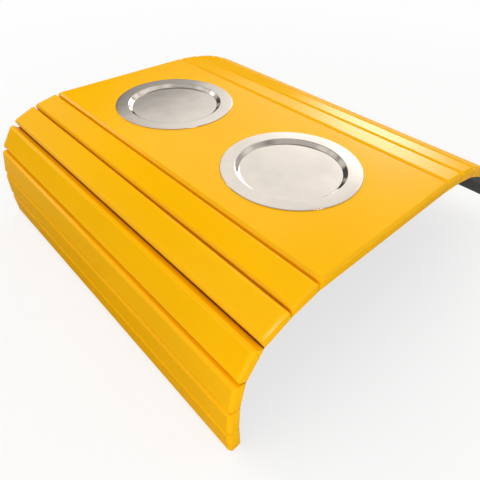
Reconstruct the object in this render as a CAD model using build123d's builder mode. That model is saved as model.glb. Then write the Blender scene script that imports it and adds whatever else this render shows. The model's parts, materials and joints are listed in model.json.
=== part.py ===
"""Flexible sofa arm tray: lacquered boards on one thin backing, draped over the arm, with two cup dishes.

Frame: +Z up, +Y along the arm, +X across it. The origin is the middle of the underside of the
backing below the centre board, where the tray rests on the arm. The front end is at -Y.
"""
import os
from math import cos, radians, sin

from build123d import *

os.makedirs("parts", exist_ok=True)

# Boards: lacquered fibreboard, all of one length along the arm
board_length = 300.0
board_thickness = 7.7
centre_width = 133.0
slat_width = 20.3
slat_gap = 0.3
bevel = 1.8
edge_ease = 0.35

# Backing: one thin woven sheet, slit in the model along each fold
backing_thickness = 0.5
backing_inset = 0.5
fold_slit = 0.2

# Draped shape: how many degrees each slat leans below the level, from the centre board outwards
left_lean_angles = (12.5, 22.5, 56.0, 80.0, 89.0, 93.5)
right_lean_angles = (5.0, 11.5, 22.0, 31.0, 42.0, 54.0)

# Cup dishes: pressed steel, the flange flat on the centre board and the well sunk into it
dish_diameter = 98.5
dish_spacing = 135.0
dish_sheet = 0.7
well_mouth_diameter = 77.8
well_depth = 2.7
wall_run = 3.0
well_bend = 0.7
rim_break = 0.2
hole_clearance = 0.8

# Sizes that follow from these
board_top = backing_thickness + board_thickness
slat_pitch = slat_width + slat_gap
first_fold = (centre_width + slat_gap) / 2
backing_length = board_length - 2 * backing_inset
well_floor_diameter = well_mouth_diameter - 2 * wall_run
dish_places = {"front": -dish_spacing / 2, "rear": dish_spacing / 2}


def bevel_board(board, plane, width):
    """Raises a board on the plane, its four top edges bevelled and the edges of the bevels eased."""
    up = Axis(plane.origin, plane.z_dir)
    with BuildSketch(plane) as outline:
        Rectangle(width, board_length)
    extrude(outline.sketch, amount=board_thickness)
    chamfer(board.faces().sort_by(up)[-1].edges(), length=bevel)
    glued_edges = board.faces().sort_by(up)[0].edges()
    fillet(board.edges().filter_by(plane) - glued_edges, radius=edge_ease)


def slat_planes(side, lean_angles):
    """The plane under the backing at each slat of one side, centred on the slat."""
    fold = Vector(side * first_fold, 0, 0)
    planes = []
    for lean in lean_angles:
        across = Vector(side * cos(radians(lean)), 0, -sin(radians(lean)))
        outward = Vector(side * sin(radians(lean)), 0, cos(radians(lean)))
        planes.append(Plane(origin=fold + across * slat_pitch / 2, x_dir=across, z_dir=outward))
        fold += across * slat_pitch
    return planes


# Centre board, with a round hole under each dish
with BuildPart() as centre_board:
    bevel_board(centre_board, Plane.XY.offset(backing_thickness), centre_width)
    with BuildSketch(Plane.XY.offset(backing_thickness)):
        with Locations(*[(0, place) for place in dish_places.values()]):
            Circle(well_mouth_diameter / 2 + hole_clearance)
    extrude(amount=board_thickness, mode=Mode.SUBTRACT)
centre_board.part.label = "centre_board"
export_step(centre_board.part, "parts/centre_board.step")

# Backing under the centre board, as far as the first fold on each side
with BuildPart() as backing_centre:
    with BuildSketch(Plane.XY):
        Rectangle(2 * first_fold - fold_slit, backing_length)
    extrude(amount=backing_thickness)
backing_centre.part.label = "backing_centre"
export_step(backing_centre.part, "parts/backing_centre.step")

# Cup dishes: one drawn sheet each, from the middle of the floor up the well wall to the flat flange
for end, place in dish_places.items():
    section = Plane(origin=(0, place, board_top + dish_sheet), x_dir=(1, 0, 0), z_dir=(0, -1, 0))
    with BuildPart() as dish:
        with BuildSketch(section):
            with BuildLine():
                FilletPolyline(
                    (0, -well_depth),
                    (well_floor_diameter / 2, -well_depth),
                    (well_mouth_diameter / 2, 0),
                    (dish_diameter / 2, 0),
                    radius=well_bend,
                )
                offset(amount=dish_sheet, side=Side.RIGHT)
            make_face()
        revolve(axis=Axis(section.origin, (0, 0, 1)))
        rim_edges = dish.edges().filter_by(GeomType.CIRCLE).group_by(SortBy.RADIUS)[-1]
        chamfer(rim_edges.sort_by(Axis.Z)[-1], length=rim_break)
    dish.part.label = f"cup_dish_{end}"
    export_step(dish.part, f"parts/cup_dish_{end}.step")

# Slats, each glued on its own stretch of the backing
for name, side, lean_angles in (("left", -1, left_lean_angles), ("right", 1, right_lean_angles)):
    for number, plane in enumerate(slat_planes(side, lean_angles), start=1):
        with BuildPart() as slat:
            bevel_board(slat, plane.offset(backing_thickness), slat_width)
        slat.part.label = f"slat_{name}_{number}"
        export_step(slat.part, f"parts/slat_{name}_{number}.step")

        outer_trim = slat_gap / 2 if number == len(lean_angles) else fold_slit / 2
        inner_end = -slat_pitch / 2 + fold_slit / 2
        outer_end = slat_pitch / 2 - outer_trim
        with BuildPart() as backing:
            with BuildSketch(plane):
                with Locations(((inner_end + outer_end) / 2, 0)):
                    Rectangle(outer_end - inner_end, backing_length)
            extrude(amount=backing_thickness)
        backing.part.label = f"backing_{name}_{number}"
        export_step(backing.part, f"parts/backing_{name}_{number}.step")
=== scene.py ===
"""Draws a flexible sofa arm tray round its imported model: lacquered boards, drawn steel cup dishes
and the backing cloth that hinges them.

Lengths are in metres, +X across the sofa arm, +Y along it, +Z up.
"""

import json
from math import atan2, cos, pi, radians, sin, tan

import bmesh
import bpy
import numpy as np
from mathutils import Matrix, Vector

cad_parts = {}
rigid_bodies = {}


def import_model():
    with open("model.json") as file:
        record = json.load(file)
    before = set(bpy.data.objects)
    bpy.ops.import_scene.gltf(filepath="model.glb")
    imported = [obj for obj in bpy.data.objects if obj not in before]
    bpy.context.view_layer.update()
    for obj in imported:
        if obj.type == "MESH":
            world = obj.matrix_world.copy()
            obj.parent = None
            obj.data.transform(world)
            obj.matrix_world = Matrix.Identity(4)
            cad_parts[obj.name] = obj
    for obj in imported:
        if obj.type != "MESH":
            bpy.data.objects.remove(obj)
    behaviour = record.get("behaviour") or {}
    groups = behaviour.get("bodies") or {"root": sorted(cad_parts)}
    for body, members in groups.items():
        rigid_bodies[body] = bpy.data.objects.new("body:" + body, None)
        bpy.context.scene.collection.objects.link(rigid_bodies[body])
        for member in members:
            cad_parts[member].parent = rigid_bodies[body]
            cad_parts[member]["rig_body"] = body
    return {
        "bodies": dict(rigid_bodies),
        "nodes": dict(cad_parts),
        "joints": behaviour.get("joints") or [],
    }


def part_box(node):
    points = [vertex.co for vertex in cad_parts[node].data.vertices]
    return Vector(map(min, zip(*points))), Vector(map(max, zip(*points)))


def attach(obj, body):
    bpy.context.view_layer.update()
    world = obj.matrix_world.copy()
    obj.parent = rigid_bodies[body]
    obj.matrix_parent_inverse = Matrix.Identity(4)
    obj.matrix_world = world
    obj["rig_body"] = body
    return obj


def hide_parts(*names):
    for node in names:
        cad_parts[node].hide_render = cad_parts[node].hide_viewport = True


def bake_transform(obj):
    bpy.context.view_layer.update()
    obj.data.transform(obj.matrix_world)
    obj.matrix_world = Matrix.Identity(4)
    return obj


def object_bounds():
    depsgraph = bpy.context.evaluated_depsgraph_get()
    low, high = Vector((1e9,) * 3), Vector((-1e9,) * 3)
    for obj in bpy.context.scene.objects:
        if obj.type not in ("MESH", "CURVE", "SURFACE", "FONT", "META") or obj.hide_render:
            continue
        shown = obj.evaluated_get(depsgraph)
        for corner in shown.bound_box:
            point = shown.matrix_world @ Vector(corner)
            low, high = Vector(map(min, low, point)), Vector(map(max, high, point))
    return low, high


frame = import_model()
CAD_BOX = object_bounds()

bl_info = {
    "name": "Sofa Arm Tray",
    "version": (1, 0, 0),
    "blender": (4, 5, 0),
    "location": "View3D > Sidebar > Tray",
    "description": "Draws the boards, cup dishes and backing cloth of a draped sofa arm tray",
    "category": "Add Mesh",
}

MM = 0.001
WHITE = (1, 1, 1, 1)
SIDES = {"left": -1, "right": 1}
ENDS = ("front", "rear")
BOARD_LOW, BOARD_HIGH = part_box("centre_board")
DISH_LOW, DISH_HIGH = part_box("cup_dish_front")

# How finely the pieces are cut, in equal parts
EDGE_CUTS = 6               # a rounded edge of a board or a dish's rim
CORNER_CUTS = 4             # an upright corner of a board
PLAIN_CUTS = (1, 1)         # the short and the long sides of a slat
HOLED_CUTS = (24, 48)       # the same sides of the board with holes, both even
BEND_CUTS = 10              # a bend in a dish
TURN_CUTS = 192             # a full turn round a dish
FOLD_CUTS = 8               # the bend in a strip of cloth
STRETCH_CUTS = 6            # the flat cloth on each side of that bend
CLOTH_ROWS = 61             # rows of points along a fold, not parts

# Tolerances of the meshes
WELD = 0.001 * MM           # points closer than this are one
ON_LINE = 0.01 * MM         # a point closer than this lies on the line
STRAIGHT = radians(0.01)    # a smaller turn is no corner
SHARP = radians(35)         # a larger turn between two faces is shaded as an edge
BOX_SLACK = 0.3 * MM        # how far a drawn piece may miss its node's box
FLAT_MARGIN = 0.1 * MM      # how far from a bend the flat parts of a dish get a point

# Noise: how many patches or waves there are in a metre, more or less
LACQUER_CLOUDS, LACQUER_SAGS, LACQUER_PEEL = 14.0, 70.0, 620.0
STEEL_CLOUDS, STEEL_WAVES, STEEL_RINGS = 38.0, 55.0, 45.0
CLOTH_SHADES, CLOTH_FUZZ = 25.0, 900.0
FLOOR_CLOUDS = 6.0
RING_CROWDING = 60.0        # how much faster the rings change along the section than round it

# The darkest and the lightest tone of each cloudy colour, as shares of it
LACQUER_TONES, STEEL_TONES, CLOTH_TONES = (0.97, 1.02), (0.94, 1.04), (0.75, 1.35)
FLOOR_GREYS = (0.83, 0.85)

STEEL_BLURS = (1.2, 0.8)    # factors of the steel's roughness in its darkest and lightest clouds
# Painted shade between the cloth's threads: a darker tone that stands in for the shade deep in the
# weave
PAINTED_GAP_SHADE_TONE = 0.3             # tone of the cloth deep between its threads
PAINTED_GAP_SHADE_SHARE = 0.5            # how much of that tone shows there
THREAD_RELIEF, FUZZ_RELIEF = 0.25, 0.1      # depths, as shares of the distance between threads

SENSOR = 36                 # the camera's, in millimetres
NEAREST = 10 * MM           # distance from which the camera sees

# Soft patches on the walls of the dim room: azimuth, elevation, half width and half height in
# degrees, brightness, which is below nothing where a patch darkens the wall, and the share of the
# half size over which the edge fades, inwards and outwards
ROOM_PATCHES = {
    "window": (25.5, 13, 7.5, 13, 6.8, 0.7),
    "curtain": (32.3, 20, 12, 7.3, 1.8, 0.7),
    "wall above the window": (22, 32, 7, 10, 1.1, 0.7),
    "wall beside the window": (47.8, 29.2, 16.1, 13.6, 0.74, 0.19),
    "lighter wall over the window": (48.3, 45.5, 15.9, 20.4, 0.27, 0.11),
    "dark cupboard beside the window": (64.7, 9.5, 20.4, 16.2, -0.38, 0.04),
    "wall on the right": (4, 8, 13, 12, 0.5, 0.7),
    "wall high on the right": (352, 50, 14, 14, 0.5, 0.3),
    "wall between window and right": (5, 31, 7, 7, 0.9, 0.4),
    "far wall": (88, 27, 12, 9, 0.7, 0.7),
    "far lamp": (112, 24, 8, 8, 4.0, 0.7),
    "wall over the far lamp": (114, 37, 8, 8, 0.6, 0.4),
    "front lamp": (267, 25, 7, 7, 9.5, 0.7),
    "ceiling lamp": (323, 74, 17, 19, 0.6, 0.29),
    "ceiling on the left": (137, 46, 13, 11, 0.75, 0.6),
    "ceiling in front": (212, 68, 36, 17, 0.5, 0.33),
    "ceiling on the right": (324, 43, 26, 18, 0.5, 0.7),
}

# Pale walls, given in the same way, that are mirrored but add no light
MIRRORED_WALLS = {
    "wall on the left": (163, 27, 38, 20, 0.55, 0.25),
    "wall behind the camera": (226, 25, 36, 18, 0.55, 0.25),
    "wall in front on the right": (315, 24, 38, 16, 0.55, 0.25),
}


# Kinds of setting

def length(name, description, default):
    """A length that the user may change."""
    return bpy.props.FloatProperty(name=name, description=description, default=default, min=0,
                                   precision=5, unit="LENGTH")


def share(name, description, default, highest=1.0):
    """A plain number that the user may change, from nothing to its highest value."""
    return bpy.props.FloatProperty(name=name, description=description, default=default, min=0,
                                   max=highest, subtype="FACTOR")


def colour(name, description, default):
    """A colour that the user may change, in linear light."""
    return bpy.props.FloatVectorProperty(name=name, description=description, default=default,
                                         size=3, min=0, max=1, subtype="COLOR")


def position(name, description, default):
    """A place in the scene that the user may change."""
    return bpy.props.FloatVectorProperty(name=name, description=description, default=default,
                                         size=3, subtype="TRANSLATION", unit="LENGTH")


# Runs: rows of points in a plane

def eased(corners, radii, cuts=EDGE_CUTS):
    """A run of straight lines with its corners rounded.

    At a corner where the line turns by an angle, the arc of the given radius starts and ends the
    radius times the tangent of half that angle away. A radius of zero leaves the corner sharp.
    """
    corners = np.array(corners, float)
    run = [corners[:1]]
    for before, corner, after, radius in zip(corners[:-2], corners[1:-1], corners[2:], radii):
        into = (corner - before) / np.linalg.norm(corner - before)
        out = (after - corner) / np.linalg.norm(after - corner)
        turn = atan2(into[0] * out[1] - into[1] * out[0], into @ out)
        if radius == 0 or abs(turn) < STRAIGHT:
            run.append(corner[None])
            continue
        start = corner - into * radius * tan(abs(turn) / 2)
        side = np.array([-into[1], into[0]]) * np.sign(turn)
        angles = np.linspace(0, abs(turn), cuts + 1)[:, None]
        run.append(start + side * radius * (1 - np.cos(angles)) + into * radius * np.sin(angles))
    run.append(corners[-1:])
    return np.concatenate(run)


def held_flat(run):
    """A run with points added beside the bends on its long straight parts.

    Smooth shading tilts a large flat face beside a bend, and the points keep the tilt off it. A
    part is long when it is longer than four margins.
    """
    long = 4 * FLAT_MARGIN
    points = [run[:1]]
    for start, end in zip(run[:-1], run[1:]):
        step = (end - start) * FLAT_MARGIN / np.linalg.norm(end - start)
        if np.linalg.norm(end - start) > long:
            points.append(np.array([start + step, end - step]))
        points.append(end[None])
    return np.concatenate(points)


def with_cut_ends(run, cuts):
    """A run with its first and its last straight line cut into equal parts."""
    first = np.linspace(run[0], run[1], cuts + 1)[:-1]
    last = np.linspace(run[-2], run[-1], cuts + 1)[1:]
    return np.concatenate([first, run[1:-1], last])


def directions(run):
    """The direction of a run at each of its points, taken from the points beside it."""
    ahead = np.gradient(run, axis=0)
    return ahead / np.linalg.norm(ahead, axis=1)[:, None]


def distances(run):
    """How far along a run each of its points lies."""
    return np.concatenate([[0], np.cumsum(np.linalg.norm(np.diff(run, axis=0), axis=1))])


def outline(half_width, half_length, inset, corner, cuts=PLAIN_CUTS):
    """A rectangle with round corners, as points in a ring that starts at the +X side.

    Each corner is a quarter circle about its own centre, which lies the inset and the corner's
    radius inside both sides. Cuts are the equal parts of the short sides and of the long sides.
    """
    middle = np.array([half_width - inset - corner, half_length - inset - corner])
    arcs = []
    for i, sign in enumerate(((1, 1), (-1, 1), (-1, -1), (1, -1))):
        angles = np.linspace(0, pi / 2, CORNER_CUTS + 1) + i * pi / 2
        arcs.append(middle * sign + corner * np.stack([np.cos(angles), np.sin(angles)], 1))
    ring = []
    for i, arc in enumerate(arcs):
        following = arcs[(i + 1) % len(arcs)]
        ring += [arc, np.linspace(arc[-1], following[0], cuts[i % 2] + 1)[1:-1]]
    return np.concatenate(ring)


def at_height(ring, height):
    """A flat ring of points, lifted to a height."""
    return np.column_stack([ring, np.full(len(ring), height)])


# Meshes and what they ride on

def grid_faces(rows, columns, width):
    """Four-sided faces between neighbours in a grid of closed rings, each stored as a row.

    A row as wide as its ring is closed by its first point, a row one wider by its own last one.
    """
    i, j = np.meshgrid(np.arange(rows - 1), np.arange(columns), indexing="ij")
    k = (j + 1) % width
    corners = (i * width + j, i * width + k, (i + 1) * width + k, (i + 1) * width + j)
    return np.stack(corners, axis=-1).reshape(-1, 4)


def put_in_scene(name, data):
    """A new object in the scene, at the origin, that shows a mesh, a lamp or a camera."""
    thing = bpy.data.objects.new(name, data)
    bpy.context.scene.collection.objects.link(thing)
    return thing


def add_piece(name, grids, material, flat=None):
    """A closed mesh from grids of points that meet, with welded seams and faces turned outwards.

    A grid is an array of rows, columns and x, y, z, and each of its rows is a closed ring. Flat
    holds the places on a UV map, in metres, of a piece made of one grid. Its last column closes
    the ring.
    """
    points, faces, start = [], [], 0
    for grid in grids:
        rows, columns = grid.shape[:2]
        points.append(grid.reshape(-1, 3))
        faces.append(grid_faces(rows, columns, columns) + start)
        start += rows * columns
    mesh = bpy.data.meshes.new(name)
    mesh.from_pydata(np.concatenate(points), [], np.concatenate(faces))
    if flat is not None:
        places = flat.reshape(-1, 2)[grid_faces(rows, columns, columns + 1)]
        mesh.uv_layers.new(name="UVMap").data.foreach_set("uv", places.ravel())
    shell = bmesh.new()
    shell.from_mesh(mesh)
    bmesh.ops.remove_doubles(shell, verts=shell.verts, dist=WELD)
    bmesh.ops.recalc_face_normals(shell, faces=shell.faces)
    shell.to_mesh(mesh)
    shell.free()
    mesh.shade_smooth()
    mesh.set_sharp_from_angle(angle=SHARP)
    mesh.materials.append(material)
    return put_in_scene(name, mesh)


def stand_in(piece, node):
    """Lets a drawn piece stand for a CAD node, once it is sure that it fills the same box."""
    low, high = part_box(node)
    drawn = np.empty((len(piece.data.vertices), 3), np.float32)
    piece.data.vertices.foreach_get("co", drawn.ravel())
    miss = max(abs(drawn.min(0) - np.array(low)).max(), abs(drawn.max(0) - np.array(high)).max())
    if miss > BOX_SLACK:
        raise RuntimeError(f"{piece.name} doesn't fill the box of {node}")
    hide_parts(node)


def fold_chain(side):
    """The fold lines of one side from the centre board out, and the lean of each board beyond one.

    A joint's lower limit is the board laid in line with the one before, so a board's lean below
    the level is the sum of those turns so far.
    """
    joints = [j for j in frame["joints"] if j["name"].startswith(side)]
    joints.sort(key=lambda j: j["name"])
    lines = np.array([j["pos_m"] for j in joints])
    return lines, np.cumsum([radians(-j["range_deg"][0]) for j in joints])


def leaning(side, lean):
    """The directions across a board, away from the centre board, and out of its top.

    Across goes outwards by the cosine of the lean and down by its sine, and out of the top goes
    outwards by the sine and up by the cosine.
    """
    sign = SIDES[side]
    return np.array([sign * cos(lean), 0, -sin(lean)]), np.array([sign * sin(lean), 0, cos(lean)])


# Shader nodes

def join(tree, node, inputs):
    """Joins a shader node's inputs to outputs of other nodes, or sets them to values."""
    for key, value in inputs.items():
        if isinstance(value, bpy.types.NodeSocket):
            tree.links.new(value, node.inputs[key])
        else:
            node.inputs[key].default_value = value


def add_node(tree, kind, inputs=(), **settings):
    """A shader node with its settings and its inputs."""
    node = tree.nodes.new(kind)
    for key, value in settings.items():
        setattr(node, key, value)
    join(tree, node, dict(inputs))
    return node


def calculate(tree, operation, *values, kind="ShaderNodeMath"):
    """The number that an operation makes of its values, which are vectors in the vector kind."""
    inputs = dict(enumerate(values))
    return add_node(tree, kind, inputs, operation=operation).outputs["Value"]


def vector(tree, x, y, z):
    """A vector of three numbers."""
    inputs = {"X": x, "Y": y, "Z": z}
    return add_node(tree, "ShaderNodeCombineXYZ", inputs).outputs["Vector"]


def noise(tree, place, scale, detail=2.0, rough=0.5):
    """Smooth noise whose patches are about one metre divided by the scale across."""
    inputs = {"Vector": place, "Scale": scale, "Detail": detail, "Roughness": rough}
    return add_node(tree, "ShaderNodeTexNoise", inputs).outputs["Fac"]


def spread(tree, value, low, high, from_low=0.3, from_high=0.7):
    """A value between two limits, noise's own if none are given, made one between two others."""
    inputs = {"Value": value, "From Min": from_low, "From Max": from_high,
              "To Min": low, "To Max": high}
    return add_node(tree, "ShaderNodeMapRange", inputs).outputs["Result"]


def blend_colours(tree, share_of_second, first, second):
    """A mix of two colours, which are outputs or plain red, green and blue."""
    mix = add_node(tree, "ShaderNodeMix", {"Factor": share_of_second}, data_type="RGBA")
    sockets = [s for s in mix.inputs if s.type == "RGBA"]
    for socket, value in zip(sockets, (first, second)):
        if isinstance(value, bpy.types.NodeSocket):
            tree.links.new(value, socket)
        else:
            socket.default_value = (*value, 1)
    return next(s for s in mix.outputs if s.type == "RGBA")


def scaled(paint, factor):
    """A colour made lighter or darker, kept within the range of paint."""
    return tuple(min(1.0, c * factor) for c in paint)


def cloudy(tree, place, scale, paint, tones, rough=0.5):
    """Soft clouds from nothing to one, and a colour that goes with them from dark to light."""
    clouds = spread(tree, noise(tree, place, scale, detail=3.0, rough=rough), 0, 1)
    dark, light = (scaled(paint, tone) for tone in tones)
    return clouds, blend_colours(tree, clouds, dark, light)


def bump(tree, height, depth, under=None):
    """A relief of a given depth, on top of another one if there is one."""
    inputs = {"Height": height, "Distance": depth, "Strength": 1.0}
    if under is not None:
        inputs["Normal"] = under
    return add_node(tree, "ShaderNodeBump", inputs).outputs["Normal"]


# Finishes

def new_finish(name):
    """A material with a bare Principled shader, its node tree and its Object coordinates."""
    material = bpy.data.materials.new(name)
    material.use_nodes = True
    tree = material.node_tree
    place = add_node(tree, "ShaderNodeTexCoord").outputs["Object"]
    return material, tree, tree.nodes["Principled BSDF"], place


def section_map(tree):
    """The place on the piece's own UV map, which is in metres."""
    return add_node(tree, "ShaderNodeUVMap", uv_map="UVMap").outputs["UV"]


def lacquer_finish(settings):
    """Sprayed gloss lacquer: a slightly cloudy colour under a clear coat with peel and sags."""
    material, tree, shader, place = new_finish("yellow_lacquer")
    _, body = cloudy(tree, place, LACQUER_CLOUDS, settings.lacquer, LACQUER_TONES)
    sag = bump(tree, noise(tree, place, LACQUER_SAGS, detail=1.0), settings.sag)
    peel = bump(tree, noise(tree, place, LACQUER_PEEL, detail=1.0), settings.peel, sag)
    join(tree, shader, {
        "Base Color": body, "Normal": peel, "Coat Normal": peel, "Specular IOR Level": 0.0,
        "Coat Weight": settings.gloss, "Coat Roughness": settings.roughness})
    return material


def steel_finish(settings):
    """Satin pressed steel: fine rings from the lathe, cloudy patches and a slightly uneven sheet.

    The rings are noise that changes fast along the section, which the UV map holds, and only
    slowly round it.
    """
    material, tree, shader, place = new_finish("pressed_steel")
    section = section_map(tree)
    along = add_node(tree, "ShaderNodeSeparateXYZ", {"Vector": section}).outputs["Y"]
    around = add_node(tree, "ShaderNodeSeparateXYZ", {"Vector": place}).outputs
    lathe = vector(tree, calculate(tree, "MULTIPLY", along, RING_CROWDING),
                   around["X"], around["Y"])
    clouds, body = cloudy(tree, place, STEEL_CLOUDS, settings.steel, STEEL_TONES, rough=0.55)
    blurs = (settings.roughness * blur for blur in STEEL_BLURS)
    waves = bump(tree, noise(tree, place, STEEL_WAVES, detail=1.0), settings.unevenness)
    rings = bump(tree, noise(tree, lathe, STEEL_RINGS, detail=3.0), settings.ring_depth, waves)
    join(tree, shader, {
        "Base Color": body, "Roughness": spread(tree, clouds, *blurs, 0, 1), "Normal": rings,
        "Metallic": 1.0})
    return material


def cloth_finish(settings):
    """Plain woven cloth: threads rise and dive as two crossed waves, for the warp and the weft.

    A thread's height is the sine across it times the sine along it, shifted by half a turn in
    every second thread, and the higher of the two threads is the one that shows.
    """
    material, tree, shader, place = new_finish("backing_cloth")
    parts = add_node(tree, "ShaderNodeSeparateXYZ", {"Vector": section_map(tree)}).outputs
    angles = [calculate(tree, "MULTIPLY", parts[axis], pi / settings.thread) for axis in "XY"]
    waves = [calculate(tree, "SINE", angle) for angle in angles]
    weave = calculate(tree, "ABSOLUTE", calculate(tree, "MULTIPLY", *waves))
    _, threads = cloudy(tree, place, CLOTH_SHADES, settings.cloth, CLOTH_TONES)
    # Painted shade: the colour darkens towards the deep tone between the threads, where the weave
    # is low
    body = blend_colours(tree, spread(tree, weave, PAINTED_GAP_SHADE_SHARE, 0, 0, 1), threads,
                         scaled(settings.cloth, PAINTED_GAP_SHADE_TONE))
    fuzz = bump(tree, noise(tree, place, CLOTH_FUZZ, detail=3.0), settings.thread * FUZZ_RELIEF)
    join(tree, shader, {
        "Base Color": body, "Normal": bump(tree, weave, settings.thread * THREAD_RELIEF, fuzz),
        "Roughness": 0.92, "Sheen Weight": 0.25, "Sheen Roughness": 0.6})
    return material


def floor_finish(settings):
    """A plain pale floor that keeps the tray's soft shadow but fades to white round it.

    The eye sees a veil of white over the floor, thin beside the tray and nearly opaque further
    away. The lacquer and steel mirror a floor that glows with painted shade: dim beside the tray,
    standing in for the tray's shadow there, and paler further away.
    """
    material = bpy.data.materials.new("pale_floor")
    material.use_nodes = True
    tree = material.node_tree
    tree.nodes.remove(tree.nodes["Principled BSDF"])
    path = add_node(tree, "ShaderNodeLightPath").outputs
    place = add_node(tree, "ShaderNodeTexCoord").outputs["Object"]
    away = calculate(tree, "LENGTH", place, kind="ShaderNodeVectorMath")
    veil = spread(tree, away, settings.seen_near, settings.floor_far,
                  settings.shadow_near, settings.shadow_far)
    veil = calculate(tree, "MULTIPLY", veil, path["Is Camera Ray"])
    fade = calculate(tree, "MAXIMUM", veil, path["Is Glossy Ray"])
    # Painted shade in reflections: the floor glows dim beside the tray, standing in for its shadow,
    # and paler further away
    mirrored = spread(tree, away, settings.mirrored_painted_shade, settings.mirrored_far,
                      settings.painted_shade_near, settings.mirror_far)
    glow_with_painted_shade = calculate(tree, "MAXIMUM", mirrored, path["Is Camera Ray"])
    grain = spread(tree, noise(tree, place, FLOOR_CLOUDS), *FLOOR_GREYS)
    tone = add_node(tree, "ShaderNodeCombineColor", {"Red": grain, "Green": grain, "Blue": grain})
    paint = add_node(tree, "ShaderNodeBsdfDiffuse", {"Color": tone.outputs["Color"]})
    white = add_node(tree, "ShaderNodeEmission", {"Color": WHITE, "Strength": glow_with_painted_shade})
    mixed = add_node(tree, "ShaderNodeMixShader",
                     {0: fade, 1: paint.outputs[0], 2: white.outputs[0]})
    join(tree, tree.nodes["Material Output"], {"Surface": mixed.outputs[0]})
    return material


# Settings

class TrayBoardSettings(bpy.types.PropertyGroup):
    """Sizes and lacquer of the centre board and the slats."""

    slat_width: length("Slat width", "Width of one slat across the arm", 20.3 * MM)
    slat_gap: length("Slat gap", "Gap between two boards when the tray lies flat", 0.3 * MM)
    board_length: length("Board length", "Length of every board along the arm",
                         BOARD_HIGH.y - BOARD_LOW.y)
    thickness: length("Board thickness", "Thickness of every board", BOARD_HIGH.z - BOARD_LOW.z)
    bevel: length("Bevel", "Width and height of the bevel round the top", 1.8 * MM)
    edge_round: length("Edge rounding", "Radius of the lacquered edges of the bevel", 0.8 * MM)
    corner_round: length("Corner rounding", "Radius of the upright corners", 0.5 * MM)
    foot_round: length("Foot rounding", "Radius of the edges on the cloth", 0.15 * MM)
    hole: length("Dish hole", "Diameter of the hole in the board under each dish", 79.4 * MM)
    lacquer: colour("Lacquer", "Colour of the lacquer", (0.95, 0.48, 0.0))
    gloss: share("Gloss", "How strongly the clear coat mirrors", 0.4)
    roughness: share("Roughness", "How much the clear coat blurs a reflection", 0.15)
    peel: length("Orange peel", "Depth of the fine unevenness of the spray", 0.006 * MM)
    sag: length("Sag", "Depth of the slow waves in the lacquer", 0.03 * MM)


class TrayDishSettings(bpy.types.PropertyGroup):
    """Sizes and steel of the cup dishes."""

    diameter: length("Dish diameter", "Diameter over the flange", DISH_HIGH.x - DISH_LOW.x)
    sheet: length("Sheet", "Thickness of the steel", 0.7 * MM)
    mouth: length("Well mouth", "Diameter of the well at the flange", 77.8 * MM)
    floor: length("Well floor", "Diameter of the flat floor", 71.8 * MM)
    depth: length("Well depth", "Height of the flange above the floor", 2.7 * MM)
    bend: length("Bend", "Radius of the bends at mouth and floor, on the upper side", 0.8 * MM)
    rim: length("Rim", "Radius of the smoothed rim", 0.3 * MM)
    steel: colour("Steel", "Colour of the steel", (0.74, 0.68, 0.615))
    roughness: share("Roughness", "How much the steel blurs a reflection", 0.1)
    unevenness: length("Unevenness", "Depth of the slow waves in the sheet", 0.05 * MM)
    ring_depth: length("Ring depth", "Depth of the fine rings", 0.003 * MM)


class TrayBackingSettings(bpy.types.PropertyGroup):
    """Sizes and weave of the cloth under the boards."""

    thickness: length("Cloth thickness", "Thickness of the cloth", BOARD_LOW.z)
    inset: length("Inset", "How far the cloth ends inside the ends of the boards", 0.5 * MM)
    bend: length("Bend", "Length of cloth on each side of a fold that bends", 1.3 * MM)
    thread: length("Thread", "Distance from thread to thread", 0.9 * MM)
    cloth: colour("Cloth", "Colour of the threads", (0.028, 0.026, 0.024))


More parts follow.
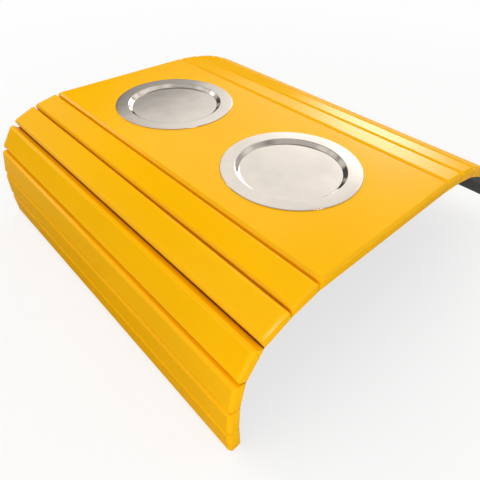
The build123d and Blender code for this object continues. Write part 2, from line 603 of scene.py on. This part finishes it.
class TrayStageSettings(bpy.types.PropertyGroup):
    """The floor, the room, the lamps and the camera."""

    floor_size: length("Floor size", "Width of the floor", 8.0)
    shadow_near: length("Shadow near", "Distance from the tray's middle up to which the floor is "
                        "as lit", 0.25)
    shadow_far: length("Shadow far", "Distance from which the floor is nearly white", 0.8)
    seen_near: share("Seen near", "Share of white laid over the floor beside the tray", 0.7)
    floor_far: share("Floor far", "Share of white laid over the floor further away", 0.95)
    # Painted shade: as the lacquer and steel mirror it, the floor glows dim out to this distance,
    # standing in for the tray's shadow
    painted_shade_near: length("Mirror near", "Distance from the tray's middle up to which a dark floor "
                        "is mirrored", 0.17)
    mirror_far: length("Mirror far", "Distance from which a paler floor is mirrored", 0.45)
    mirrored_painted_shade: share("Mirrored near", "Brightness of the floor beside the tray as it is "
                         "mirrored", 0.03)
    mirrored_far: share("Mirrored far", "Brightness of the floor further away as it is mirrored",
                        0.5)
    room: share("Room", "Light of the room between its patches", 0.26, 5.0)
    room_mirrored: share("Room mirrored", "Brightness of the same room as the lacquer and steel "
                         "mirror it", 0.08)
    room_tint: colour("Room tint", "Colour of the room's light", (1.0, 0.985, 0.96))
    backdrop: share("Backdrop", "White of the backdrop that the eye sees past the floor", 0.98)
    lamp: share("Lamp", "Light that the lamp above adds at the tray", 0.455, 5.0)
    lamp_size: length("Lamp size", "Width of the lamp above", 1.2)
    lamp_place: position("Lamp place", "Where the lamp above stands", (-0.49, 0.28, 1.39))
    side_lamp: share("Side lamp", "Light that the lamp in front on the left adds at the tray",
                     0.135, 5.0)
    side_lamp_size: length("Side lamp size", "Width of the lamp in front on the left", 0.12)
    side_lamp_place: position("Side lamp place", "Where the lamp in front on the left stands",
                              (-0.26, -0.36, -0.02))
    camera_place: position("Camera place", "Where the camera stands",
                           (-206.75 * MM, -237.65 * MM, 178.03 * MM))
    camera_turn: bpy.props.FloatVectorProperty(
        name="Camera turn", description="Turn of the camera about X, Y and Z", size=3,
        subtype="EULER", default=(radians(51.404), radians(-1.395), radians(-42.884)))
    lens: bpy.props.FloatProperty(name="Lens", description="Focal length in millimetres",
                                  default=34.107)
    shift: bpy.props.FloatVectorProperty(
        name="Shift", description="Camera shift across and up, as shares of the frame", size=2,
        default=(-0.01098, -0.05437))


# Operators

class TRAY_OT_add_boards(bpy.types.Operator):
    """Draw the centre board and the slats with soft bevels"""

    bl_idname = "tray.add_boards"
    bl_label = "Add boards"

    def section(self, settings):
        """A board's side from its foot to its top, as distance inwards from the side and height.

        It starts and ends on the flat foot and top, far enough in for the rounded edges.
        """
        bevel, height = settings.bevel, settings.thickness
        foot_end, top_end = 3 * settings.foot_round, bevel + 1.5 * settings.edge_round
        corners = [(foot_end, 0), (0, 0), (0, height - bevel), (bevel, height), (top_end, height)]
        return eased(corners, (settings.foot_round, settings.edge_round, settings.edge_round))

    def rings(self, settings, half_width, cuts):
        """The section carried round the board, in one ring for each of its points.

        The outline shrinks by the section's distance inwards, and its corners' radius with it,
        though never below half.
        """
        half_length, corner = settings.board_length / 2, settings.corner_round
        rings = []
        for inset, height in self.section(settings):
            radius = max(corner - inset, corner / 2)
            rings.append(at_height(outline(half_width, half_length, inset, radius, cuts), height))
        return np.array(rings)

    def closed_flat(self, settings, half_width, ring):
        """A flat face inside a ring: from the line along the board's middle out to the ring."""
        spine = outline(half_width, settings.board_length / 2, half_width, 0.0)
        return np.stack([at_height(spine, ring[0, 2]), ring])

    def plate_with_holes(self, settings, ring, middles):
        """A flat face with a round hole in each half, and the circle of each hole.

        Each half is bounded by its part of the ring and by the line across the middle of the
        board. A circle's point lies on the line from the hole's middle to its partner on that
        boundary.
        """
        height = ring[0, 2]
        fans, circles = [], []
        on_middle = np.flatnonzero(np.abs(ring[:, 1]) < ON_LINE)
        right, left = on_middle[np.argsort(-ring[on_middle, 0])]
        for middle in middles:
            first, last = (right, left) if middle > 0 else (left, right)
            count = (last - first) % len(ring)
            edge = ring[(first + np.arange(count + 1)) % len(ring)]
            across = np.linspace(edge[-1], edge[0], HOLED_CUTS[0] + 1)[1:-1]
            edge = np.concatenate([edge, across])
            hole = np.array([0, middle, height])
            away = edge - hole
            circle = hole + away / np.linalg.norm(away, axis=1)[:, None] * settings.hole / 2
            fans.append(np.array([circle, edge]))
            circles.append(circle)
        return fans, circles

    def add_board(self, settings, material, name, node, half_width, axes, origin, middles=()):
        """A board drawn level and then laid along its axes, with its foot's middle at its origin.

        Middles are the places along Y of the round holes, if it has any.
        """
        rings = self.rings(settings, half_width, HOLED_CUTS if middles else PLAIN_CUTS)
        foot, top = rings[0], rings[-1]
        if middles:
            foot_fans, foot_circles = self.plate_with_holes(settings, foot, middles)
            top_fans, top_circles = self.plate_with_holes(settings, top, middles)
            walls = [np.array(pair) for pair in zip(foot_circles, top_circles)]
            grids = [rings, *foot_fans, *top_fans, *walls]
        else:
            grids = [rings, self.closed_flat(settings, half_width, foot),
                     self.closed_flat(settings, half_width, top)]
        piece = add_piece(name, [grid @ axes + origin for grid in grids], material)
        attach(piece, node if node in frame["bodies"] else frame["nodes"][node]["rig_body"])
        stand_in(piece, node)

    def execute(self, context):
        settings = context.scene.tray_boards
        material = lacquer_finish(settings)
        middles = [sum(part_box(f"cup_dish_{end}"), Vector()).y / 2 for end in ENDS]
        self.add_board(settings, material, "lacquered_centre_board", "centre_board",
                       (BOARD_HIGH.x - BOARD_LOW.x) / 2, np.eye(3),
                       np.array([0, 0, BOARD_LOW.z]), middles)
        pitch = settings.slat_width + settings.slat_gap
        for side in SIDES:
            for number, (line, lean) in enumerate(zip(*fold_chain(side)), start=1):
                across, outward = leaning(side, lean)
                self.add_board(settings, material, f"lacquered_slat_{side}_{number}",
                               f"slat_{side}_{number}", settings.slat_width / 2,
                               np.array([across, (0, 1, 0), outward]),
                               line + across * pitch / 2 + outward * BOARD_LOW.z)
        return {"FINISHED"}


class TRAY_OT_add_dishes(bpy.types.Operator):
    """Draw the two cup dishes, each one drawn sheet"""

    bl_idname = "tray.add_dishes"
    bl_label = "Add cup dishes"

    def section(self, settings):
        """The sheet's upper side from the middle of the floor to the rim, and back underneath.

        Points are distance from the dish's middle and height above the flange. The underside is
        the upper side moved by the sheet's thickness, square to it. The rim is round.
        """
        floor, mouth, edge = settings.floor / 2, settings.mouth / 2, settings.diameter / 2
        flange_end = edge - 2 * settings.rim
        corners = [(0, -settings.depth), (floor, -settings.depth), (mouth, 0), (flange_end, 0)]
        upper = eased(corners, (settings.bend, settings.bend), BEND_CUTS)
        ahead = directions(upper)
        ahead[0], ahead[-1] = (1, 0), (1, 0)
        lower = upper + np.stack([ahead[:, 1], -ahead[:, 0]], 1) * settings.sheet
        lower[0, 0] = 0
        corners = [upper[-1], (edge, 0), (edge, -settings.sheet), lower[-1]]
        rim = eased(corners, (settings.rim, settings.rim))
        return held_flat(np.concatenate([upper, rim[1:-1], lower[::-1]]))

    def turned(self, settings, section):
        """The section carried round the dish, and its places on a UV map.

        A point goes round at its distance from the middle, times the cosine and the sine of the
        angle. The map holds the way round the well's mouth in X and the way along the section
        in Y.
        """
        turns = np.linspace(0, 2 * pi, TURN_CUTS + 1)
        flat = np.stack(np.broadcast_arrays(turns[None] * settings.mouth / 2,
                                            distances(section)[:, None]), axis=-1)
        angles, radius = turns[:-1], section[:, :1]
        grid = np.stack([radius * np.cos(angles), radius * np.sin(angles),
                         np.repeat(section[:, 1:], len(angles), axis=1)], axis=-1)
        return grid, flat

    def execute(self, context):
        settings = context.scene.tray_dishes
        material = steel_finish(settings)
        dish, flat = self.turned(settings, self.section(settings))
        for end in ENDS:
            low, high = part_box(f"cup_dish_{end}")
            middle = np.array([(low.x + high.x) / 2, (low.y + high.y) / 2, high.z])
            piece = add_piece(f"drawn_dish_{end}", [dish + middle], material, flat)
            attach(piece, "centre")
            stand_in(piece, f"cup_dish_{end}")
        return {"FINISHED"}


class TRAY_OT_add_backing(bpy.types.Operator):
    """Draw the backing cloth, in strips that each bend over one fold"""

    bl_idname = "tray.add_backing"
    bl_label = "Add backing cloth"

    def strip(self, settings, run, away):
        """A strip of cloth with a run as its underside, its places on a UV map and its width.

        The upper side is the underside moved by the cloth's thickness, square to the run and away
        from the arm. Both sides are carried along Y, and the ends close on the middle of the
        thickness.
        """
        ahead = directions(run)
        up = np.stack([-ahead[:, 1], ahead[:, 0]], 1)
        up *= np.sign((up * away).sum())
        over = run + up * settings.thickness
        ring = np.concatenate([run, over[::-1]])
        closing = np.concatenate([(run + over) / 2, ((run + over) / 2)[::-1]])
        half = (BOARD_HIGH.y - BOARD_LOW.y) / 2 - settings.inset
        places = np.linspace(-half, half, CLOTH_ROWS)
        rows = [closing] + [ring] * len(places) + [closing]
        ys = np.concatenate([places[:1], places, places[-1:]])
        grid = np.array([np.column_stack([row[:, 0], np.full(len(row), y), row[:, 1]])
                         for row, y in zip(rows, ys)])
        along = distances(run)
        across = np.concatenate([along, along[::-1], along[:1]])
        flat = np.stack(np.broadcast_arrays(across[None], ys[:, None]), axis=-1)
        return grid, flat, along[-1]

    def execute(self, context):
        settings = context.scene.tray_backing
        boards = context.scene.tray_boards
        material = cloth_finish(settings)
        pitch = boards.slat_width + boards.slat_gap
        for side in SIDES:
            lines, leans = fold_chain(side)
            before_lean, from_fold = 0.0, abs(lines[0][0])
            for number, (line, lean) in enumerate(zip(lines, leans), start=1):
                last = number == len(lines)
                back, _ = leaning(side, before_lean)
                ahead, outward = leaning(side, lean)
                reach = pitch - boards.slat_gap / 2 if last else pitch / 2
                corners = [line - back * from_fold, line, line + ahead * reach]
                radius = settings.bend / tan((lean - before_lean) / 2)
                run = eased([(c[0], c[2]) for c in corners], (radius,), FOLD_CUTS)
                run = with_cut_ends(run, STRETCH_CUTS)
                grid, flat, width = self.strip(settings, run, outward[[0, 2]])
                piece = add_piece(f"backing_cloth_{side}_{number}", [grid], material, flat)
                nodes = [f"backing_{side}_{number}"] + (["backing_centre"] if number == 1 else [])
                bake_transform(piece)
                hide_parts(*nodes)
                before_lean, from_fold = lean, pitch / 2
        return {"FINISHED"}


class TRAY_OT_add_stage(bpy.types.Operator):
    """Add the floor, the room, the lamps and the camera"""

    bl_idname = "tray.add_stage"
    bl_label = "Add stage"

    def add_floor(self, settings):
        """A square of floor under the lowest point of the tray."""
        half, level = settings.floor_size / 2, CAD_BOX[0][2]
        corners = [(-half, -half, level), (half, -half, level), (half, half, level),
                   (-half, half, level)]
        mesh = bpy.data.meshes.new("floor")
        mesh.from_pydata(corners, [], [(0, 1, 2, 3)])
        mesh.materials.append(floor_finish(settings))
        floor = put_in_scene("floor", mesh)

    def add_lamp(self, name, place, size, level):
        """A square lamp that faces the tray's middle and lifts white paint there by a level.

        A lamp that is as bright as white paint sends out pi watts from a square metre. It lights
        the tray softly but isn't mirrored in it.
        """
        lamp = bpy.data.lights.new(name, "AREA")
        lamp.size = size
        lamp.energy = level * pi * pi * Vector(place).length_squared
        stand = put_in_scene(name, lamp)
        stand.location = place
        stand.rotation_euler = Vector(place).to_track_quat("Z", "Y").to_euler()
        stand.visible_glossy = stand.visible_camera = False

    def add_camera(self, settings):
        """The camera at the photo's place and angle."""
        camera = bpy.data.cameras.new("camera")
        camera.lens, camera.sensor_width, camera.clip_start = settings.lens, SENSOR, NEAREST
        camera.shift_x, camera.shift_y = settings.shift
        stand = put_in_scene("camera", camera)
        stand.location, stand.rotation_euler = settings.camera_place, settings.camera_turn
        bpy.context.scene.camera = stand

    def patch(self, tree, direction, azimuth, elevation, half_width, half_height, brightness,
              fade):
        """The light of a soft patch on the room's walls, seen in a direction.

        The direction's parts across and up the patch, in half sizes, give its distance from the
        patch's middle. A third part, nearly nothing there, keeps the opposite wall as it is.
        """
        turn, lift = radians(azimuth), radians(elevation)
        middle = np.array([cos(turn) * cos(lift), sin(turn) * cos(lift), sin(lift)])
        across = np.array([-sin(turn), cos(turn), 0]) / sin(radians(half_width))
        up = np.array([-cos(turn) * sin(lift), -sin(turn) * sin(lift), cos(lift)])
        up = up / sin(radians(half_height))
        x, y, z = [calculate(tree, "DOT_PRODUCT", direction, tuple(axis),
                             kind="ShaderNodeVectorMath") for axis in (across, up, middle)]
        offset = vector(tree, x, y, calculate(tree, "SUBTRACT", z, 1.0))
        inputs = {"Value": calculate(tree, "LENGTH", offset, kind="ShaderNodeVectorMath"),
                  "From Min": 1 - fade, "From Max": 1 + fade, "To Min": brightness, "To Max": 0.0}
        shape = add_node(tree, "ShaderNodeMapRange", inputs, interpolation_type="SMOOTHSTEP")
        return shape.outputs["Result"]

    def with_patches(self, tree, direction, light, patches):
        """The light of the room with that of some patches added."""
        for numbers in patches.values():
            light = calculate(tree, "ADD", self.patch(tree, direction, *numbers), light)
        return light

    def add_room(self, settings):
        """A dim grey room with soft patches, behind which the eye sees a plain white backdrop.

        No dark patch takes the light below that of the dim room as it is mirrored.
        """
        world = bpy.data.worlds.new("room")
        world.use_nodes = True
        tree = world.node_tree
        direction = add_node(tree, "ShaderNodeTexCoord").outputs["Generated"]
        path = add_node(tree, "ShaderNodeLightPath").outputs
        mirrored = self.with_patches(tree, direction, settings.room_mirrored, MIRRORED_WALLS)
        light = spread(tree, path["Is Glossy Ray"], settings.room, mirrored, 0, 1)
        light = self.with_patches(tree, direction, light, ROOM_PATCHES)
        light = calculate(tree, "MAXIMUM", light, settings.room_mirrored)
        room = tree.nodes["Background"]
        join(tree, room, {"Color": (*settings.room_tint, 1), "Strength": light})
        backdrop = add_node(tree, "ShaderNodeBackground",
                            {"Color": WHITE, "Strength": settings.backdrop})
        seen = add_node(tree, "ShaderNodeMixShader",
                        {0: path["Is Camera Ray"], 1: room.outputs[0], 2: backdrop.outputs[0]})
        join(tree, tree.nodes["World Output"], {"Surface": seen.outputs[0]})
        bpy.context.scene.world = world

    def execute(self, context):
        settings = context.scene.tray_stage
        self.add_floor(settings)
        self.add_room(settings)
        self.add_lamp("lamp", settings.lamp_place, settings.lamp_size, settings.lamp)
        self.add_lamp("side_lamp", settings.side_lamp_place, settings.side_lamp_size,
                      settings.side_lamp)
        self.add_camera(settings)
        context.scene.view_settings.view_transform = "Standard"
        return {"FINISHED"}


class TRAY_PT_tray(bpy.types.Panel):
    """Lists the tray's pieces and their settings"""

    bl_idname = "TRAY_PT_tray"
    bl_label = "Sofa arm tray"
    bl_space_type = "VIEW_3D"
    bl_region_type = "UI"
    bl_category = "Tray"

    def draw(self, context):
        for operator, group in STEPS:
            box = self.layout.box()
            box.operator(operator.bl_idname)
            settings = getattr(context.scene, group)
            for key in type(settings).__annotations__:
                box.prop(settings, key)


STEPS = ((TRAY_OT_add_stage, "tray_stage"), (TRAY_OT_add_boards, "tray_boards"),
         (TRAY_OT_add_dishes, "tray_dishes"), (TRAY_OT_add_backing, "tray_backing"))
GROUPS = {"tray_boards": TrayBoardSettings, "tray_dishes": TrayDishSettings,
          "tray_backing": TrayBackingSettings, "tray_stage": TrayStageSettings}
CLASSES = (*GROUPS.values(), *(step[0] for step in STEPS), TRAY_PT_tray)


def register():
    """Makes the classes known to Blender and gives each scene its settings."""
    for cls in CLASSES:
        bpy.utils.register_class(cls)
    for name, group in GROUPS.items():
        setattr(bpy.types.Scene, name, bpy.props.PointerProperty(type=group))


def unregister():
    """Takes the settings and the classes away again."""
    for name in GROUPS:
        delattr(bpy.types.Scene, name)
    for cls in reversed(CLASSES):
        bpy.utils.unregister_class(cls)


def main():
    """Draws the tray and its stage."""
    register()
    bpy.ops.tray.add_stage()
    bpy.ops.tray.add_boards()
    bpy.ops.tray.add_dishes()
    bpy.ops.tray.add_backing()


if __name__ == "__main__":
    main()
